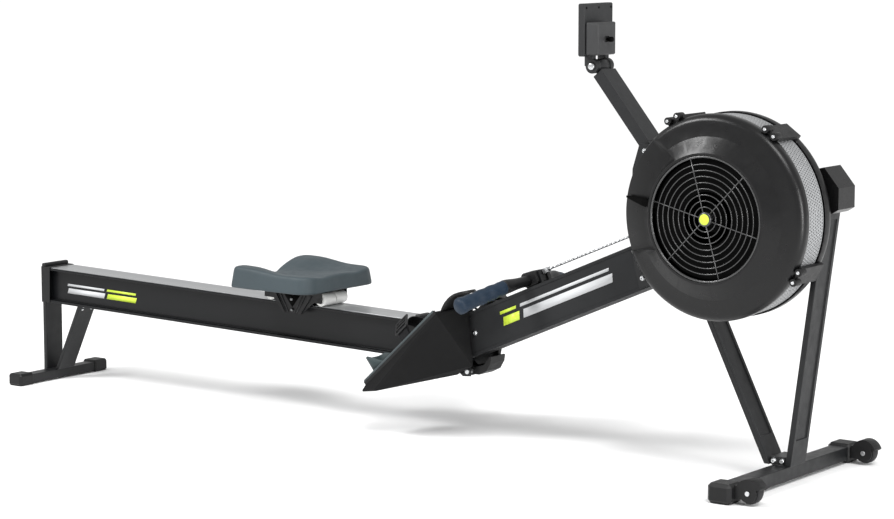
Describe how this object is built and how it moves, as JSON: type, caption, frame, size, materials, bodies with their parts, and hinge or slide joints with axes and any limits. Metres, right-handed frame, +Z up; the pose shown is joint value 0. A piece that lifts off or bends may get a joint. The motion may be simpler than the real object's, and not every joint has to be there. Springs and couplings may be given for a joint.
{
  "type": "rowing machine",
  "caption": "Air-braked rowing machine: sliding seat on a sloping rail, footboards, pull handle on a chain to a caged flywheel, and a monitor on a folding arm.",
  "frame": {"origin": "on the floor, under the middle of the bounding box", "axes": "+X along the machine from the rear leg to the flywheel, +Y to the rower's left as they face the flywheel, +Z up"},
  "size_m": [2.442, 0.608, 1.065],
  "materials": {
    "frame_dark": "satin powder coat, near black",
    "arm_dark": "satin powder coat",
    "rail_dark": "black anodised, satin",
    "track_steel": "brushed along the rail",
    "black_plastic": "fine grain",
    "stop_rubber": "matt",
    "cover_plastic": "satin moulded",
    "band_mesh": "light grey perforated sheet",
    "flywheel_metal": "dull grey",
    "bright_steel": "zinc plated",
    "guide_white": "smooth white",
    "cord_fabric": "braided sheath over rubber",
    "grip_rubber": "soft, navy",
    "handle_plastic": "fine grain",
    "wheel_rubber": "hard",
    "cup_plastic": "grey green, flexible",
    "strap_web": "woven webbing",
    "buckle_plastic": "glossy",
    "case_plastic": "fine grain",
    "screen_glass": "clear over a grey display",
    "seat_foam": "moulded blue grey foam skin",
    "carriage_metal": "black"
  },
  "bodies": {
    "frame": {"rail_beam": "rail_dark", "rail_track": "track_steel", "rail_end_cap": "black_plastic", "rail_front_stop": "stop_rubber", "rear_post": "frame_dark", "rear_brace": "frame_dark", "rear_foot_beam": "frame_dark", "rear_foot_caps": "black_plastic", "main_beam": "frame_dark", "frame_coupler": "frame_dark", "frame_bolts": "bright_steel", "front_strut": "frame_dark", "rear_strut": "frame_dark", "front_foot_beam": "frame_dark", "front_foot_caps": "black_plastic", "wheel_shrouds": "black_plastic", "wheel_axles": "bright_steel", "leg_top_box": "cover_plastic", "side_plates": "frame_dark", "near_cover": "cover_plastic", "far_cover": "cover_plastic", "mesh_band": "band_mesh", "cover_clamps": "black_plastic", "clamp_bolts": "bright_steel", "grille": "cover_plastic", "axle_bearings": "bright_steel", "chain_inner": "bright_steel", "chain_guide": "guide_white", "chain_span": "bright_steel", "shock_cord": "cord_fabric", "handle_hook": "frame_dark", "foot_shells": "black_plastic", "footboards": "black_plastic", "foot_straps": "strap_web", "strap_buckles": "buckle_plastic"},
    "flywheel_unit": {"flywheel": "flywheel_metal", "flywheel_axle": "bright_steel"},
    "damper": {"damper_ring": "cover_plastic"},
    "drive_sprocket": {"sprocket": "bright_steel"},
    "guide_roller": {"chain_roller": "guide_white"},
    "return_pulley": {"cord_pulley": "black_plastic"},
    "handle": {"handle_bar": "handle_plastic", "handle_grips": "grip_rubber", "chain_clevis": "bright_steel"},
    "lock": {"frame_lock": "black_plastic"},
    "arm": {"monitor_arm": "arm_dark", "arm_pins": "bright_steel"},
    "monitor": {"monitor_case": "case_plastic", "monitor_screen": "screen_glass", "battery_box": "case_plastic"},
    "right_wheel": {"wheel_right": "wheel_rubber"},
    "left_wheel": {"wheel_left": "wheel_rubber"},
    "right_heel": {"heel_cup_right": "cup_plastic"},
    "left_heel": {"heel_cup_left": "cup_plastic"},
    "seat": {"seat_pad": "seat_foam", "seat_carriage": "carriage_metal", "roller_axles": "bright_steel"},
    "front_rollers": {"rollers_front": "guide_white"},
    "rear_rollers": {"rollers_rear": "guide_white"},
    "lower_rollers": {"rollers_lower": "guide_white"}
  },
  "joints": [
    {"name": "seat_slide", "type": "slide", "parent": "frame", "child": "seat", "axis": [0.9997, 0, -0.025], "range_m": [-0.775, 0.26]},
    {"name": "front_roller_spin", "type": "hinge", "parent": "seat", "child": "front_rollers", "pos_m": [-0.2299, 0, 0.30396], "axis": [0, 1, 0], "continuous": true},
    {"name": "rear_roller_spin", "type": "hinge", "parent": "seat", "child": "rear_rollers", "pos_m": [-0.39385, 0, 0.30806], "axis": [0, 1, 0], "continuous": true},
    {"name": "lower_roller_spin", "type": "hinge", "parent": "seat", "child": "lower_rollers", "pos_m": [-0.31667, 0, 0.27402], "axis": [0, 1, 0], "continuous": true},
    {"name": "handle_pull", "type": "slide", "parent": "frame", "child": "handle", "axis": [-0.9877, 0, 0.1564], "range_m": [0, 1.15], "stiffness_N_per_m": 12, "springref_m": -0.5, "deforming": ["chain_span"]},
    {"name": "sprocket_spin", "type": "hinge", "parent": "frame", "child": "drive_sprocket", "pos_m": [0.984, 0, 0.607], "axis": [0, 1, 0], "continuous": true},
    {"name": "guide_roller_spin", "type": "hinge", "parent": "frame", "child": "guide_roller", "pos_m": [0.69668, 0, 0.52264], "axis": [0, 1, 0], "continuous": true},
    {"name": "return_pulley_spin", "type": "hinge", "parent": "frame", "child": "return_pulley", "pos_m": [0.24583, 0, 0.26452], "axis": [0, 1, 0], "continuous": true},
    {"name": "flywheel_spin", "type": "hinge", "parent": "frame", "child": "flywheel_unit", "pos_m": [0.984, 0, 0.607], "axis": [0, 1, 0], "continuous": true},
    {"name": "damper_lever", "type": "hinge", "parent": "frame", "child": "damper", "pos_m": [0.984, -0.122, 0.607], "axis": [0, -1, 0], "range_deg": [-30, 30]},
    {"name": "frame_lock_lever", "type": "hinge", "parent": "frame", "child": "lock", "pos_m": [0.228, 0, 0.169], "axis": [0, 1, 0], "range_deg": [0, 35]},
    {"name": "monitor_arm_fold", "type": "hinge", "parent": "frame", "child": "arm", "pos_m": [0.727, 0, 0.732], "axis": [0, 1, 0], "range_deg": [-40, 50]},
    {"name": "monitor_tilt", "type": "hinge", "parent": "arm", "child": "monitor", "pos_m": [0.57292, 0, 0.91991], "axis": [0, 1, 0], "range_deg": [-30, 40]},
    {"name": "right_wheel_spin", "type": "hinge", "parent": "frame", "child": "right_wheel", "pos_m": [1.145, -0.268, 0.029], "axis": [0, 1, 0], "continuous": true},
    {"name": "left_wheel_spin", "type": "hinge", "parent": "frame", "child": "left_wheel", "pos_m": [1.145, 0.268, 0.029], "axis": [0, 1, 0], "continuous": true},
    {"name": "right_heel_slide", "type": "slide", "parent": "frame", "child": "right_heel", "axis": [0.7373, 0, 0.6756], "range_m": [0, 0.035]},
    {"name": "left_heel_slide", "type": "slide", "parent": "frame", "child": "left_heel", "axis": [0.7373, 0, 0.6756], "range_m": [0, 0.035]}
  ],
  "couplings": [
    {"joint": "front_roller_spin", "follows": "seat_slide", "rad_per_m": 61.35},
    {"joint": "rear_roller_spin", "follows": "seat_slide", "rad_per_m": 61.35},
    {"joint": "sprocket_spin", "follows": "handle_pull", "rad_per_m": -57.803},
    {"joint": "guide_roller_spin", "follows": "handle_pull", "rad_per_m": -57.803},
    {"joint": "return_pulley_spin", "follows": "handle_pull", "rad_per_m": 22.422}
  ]
}
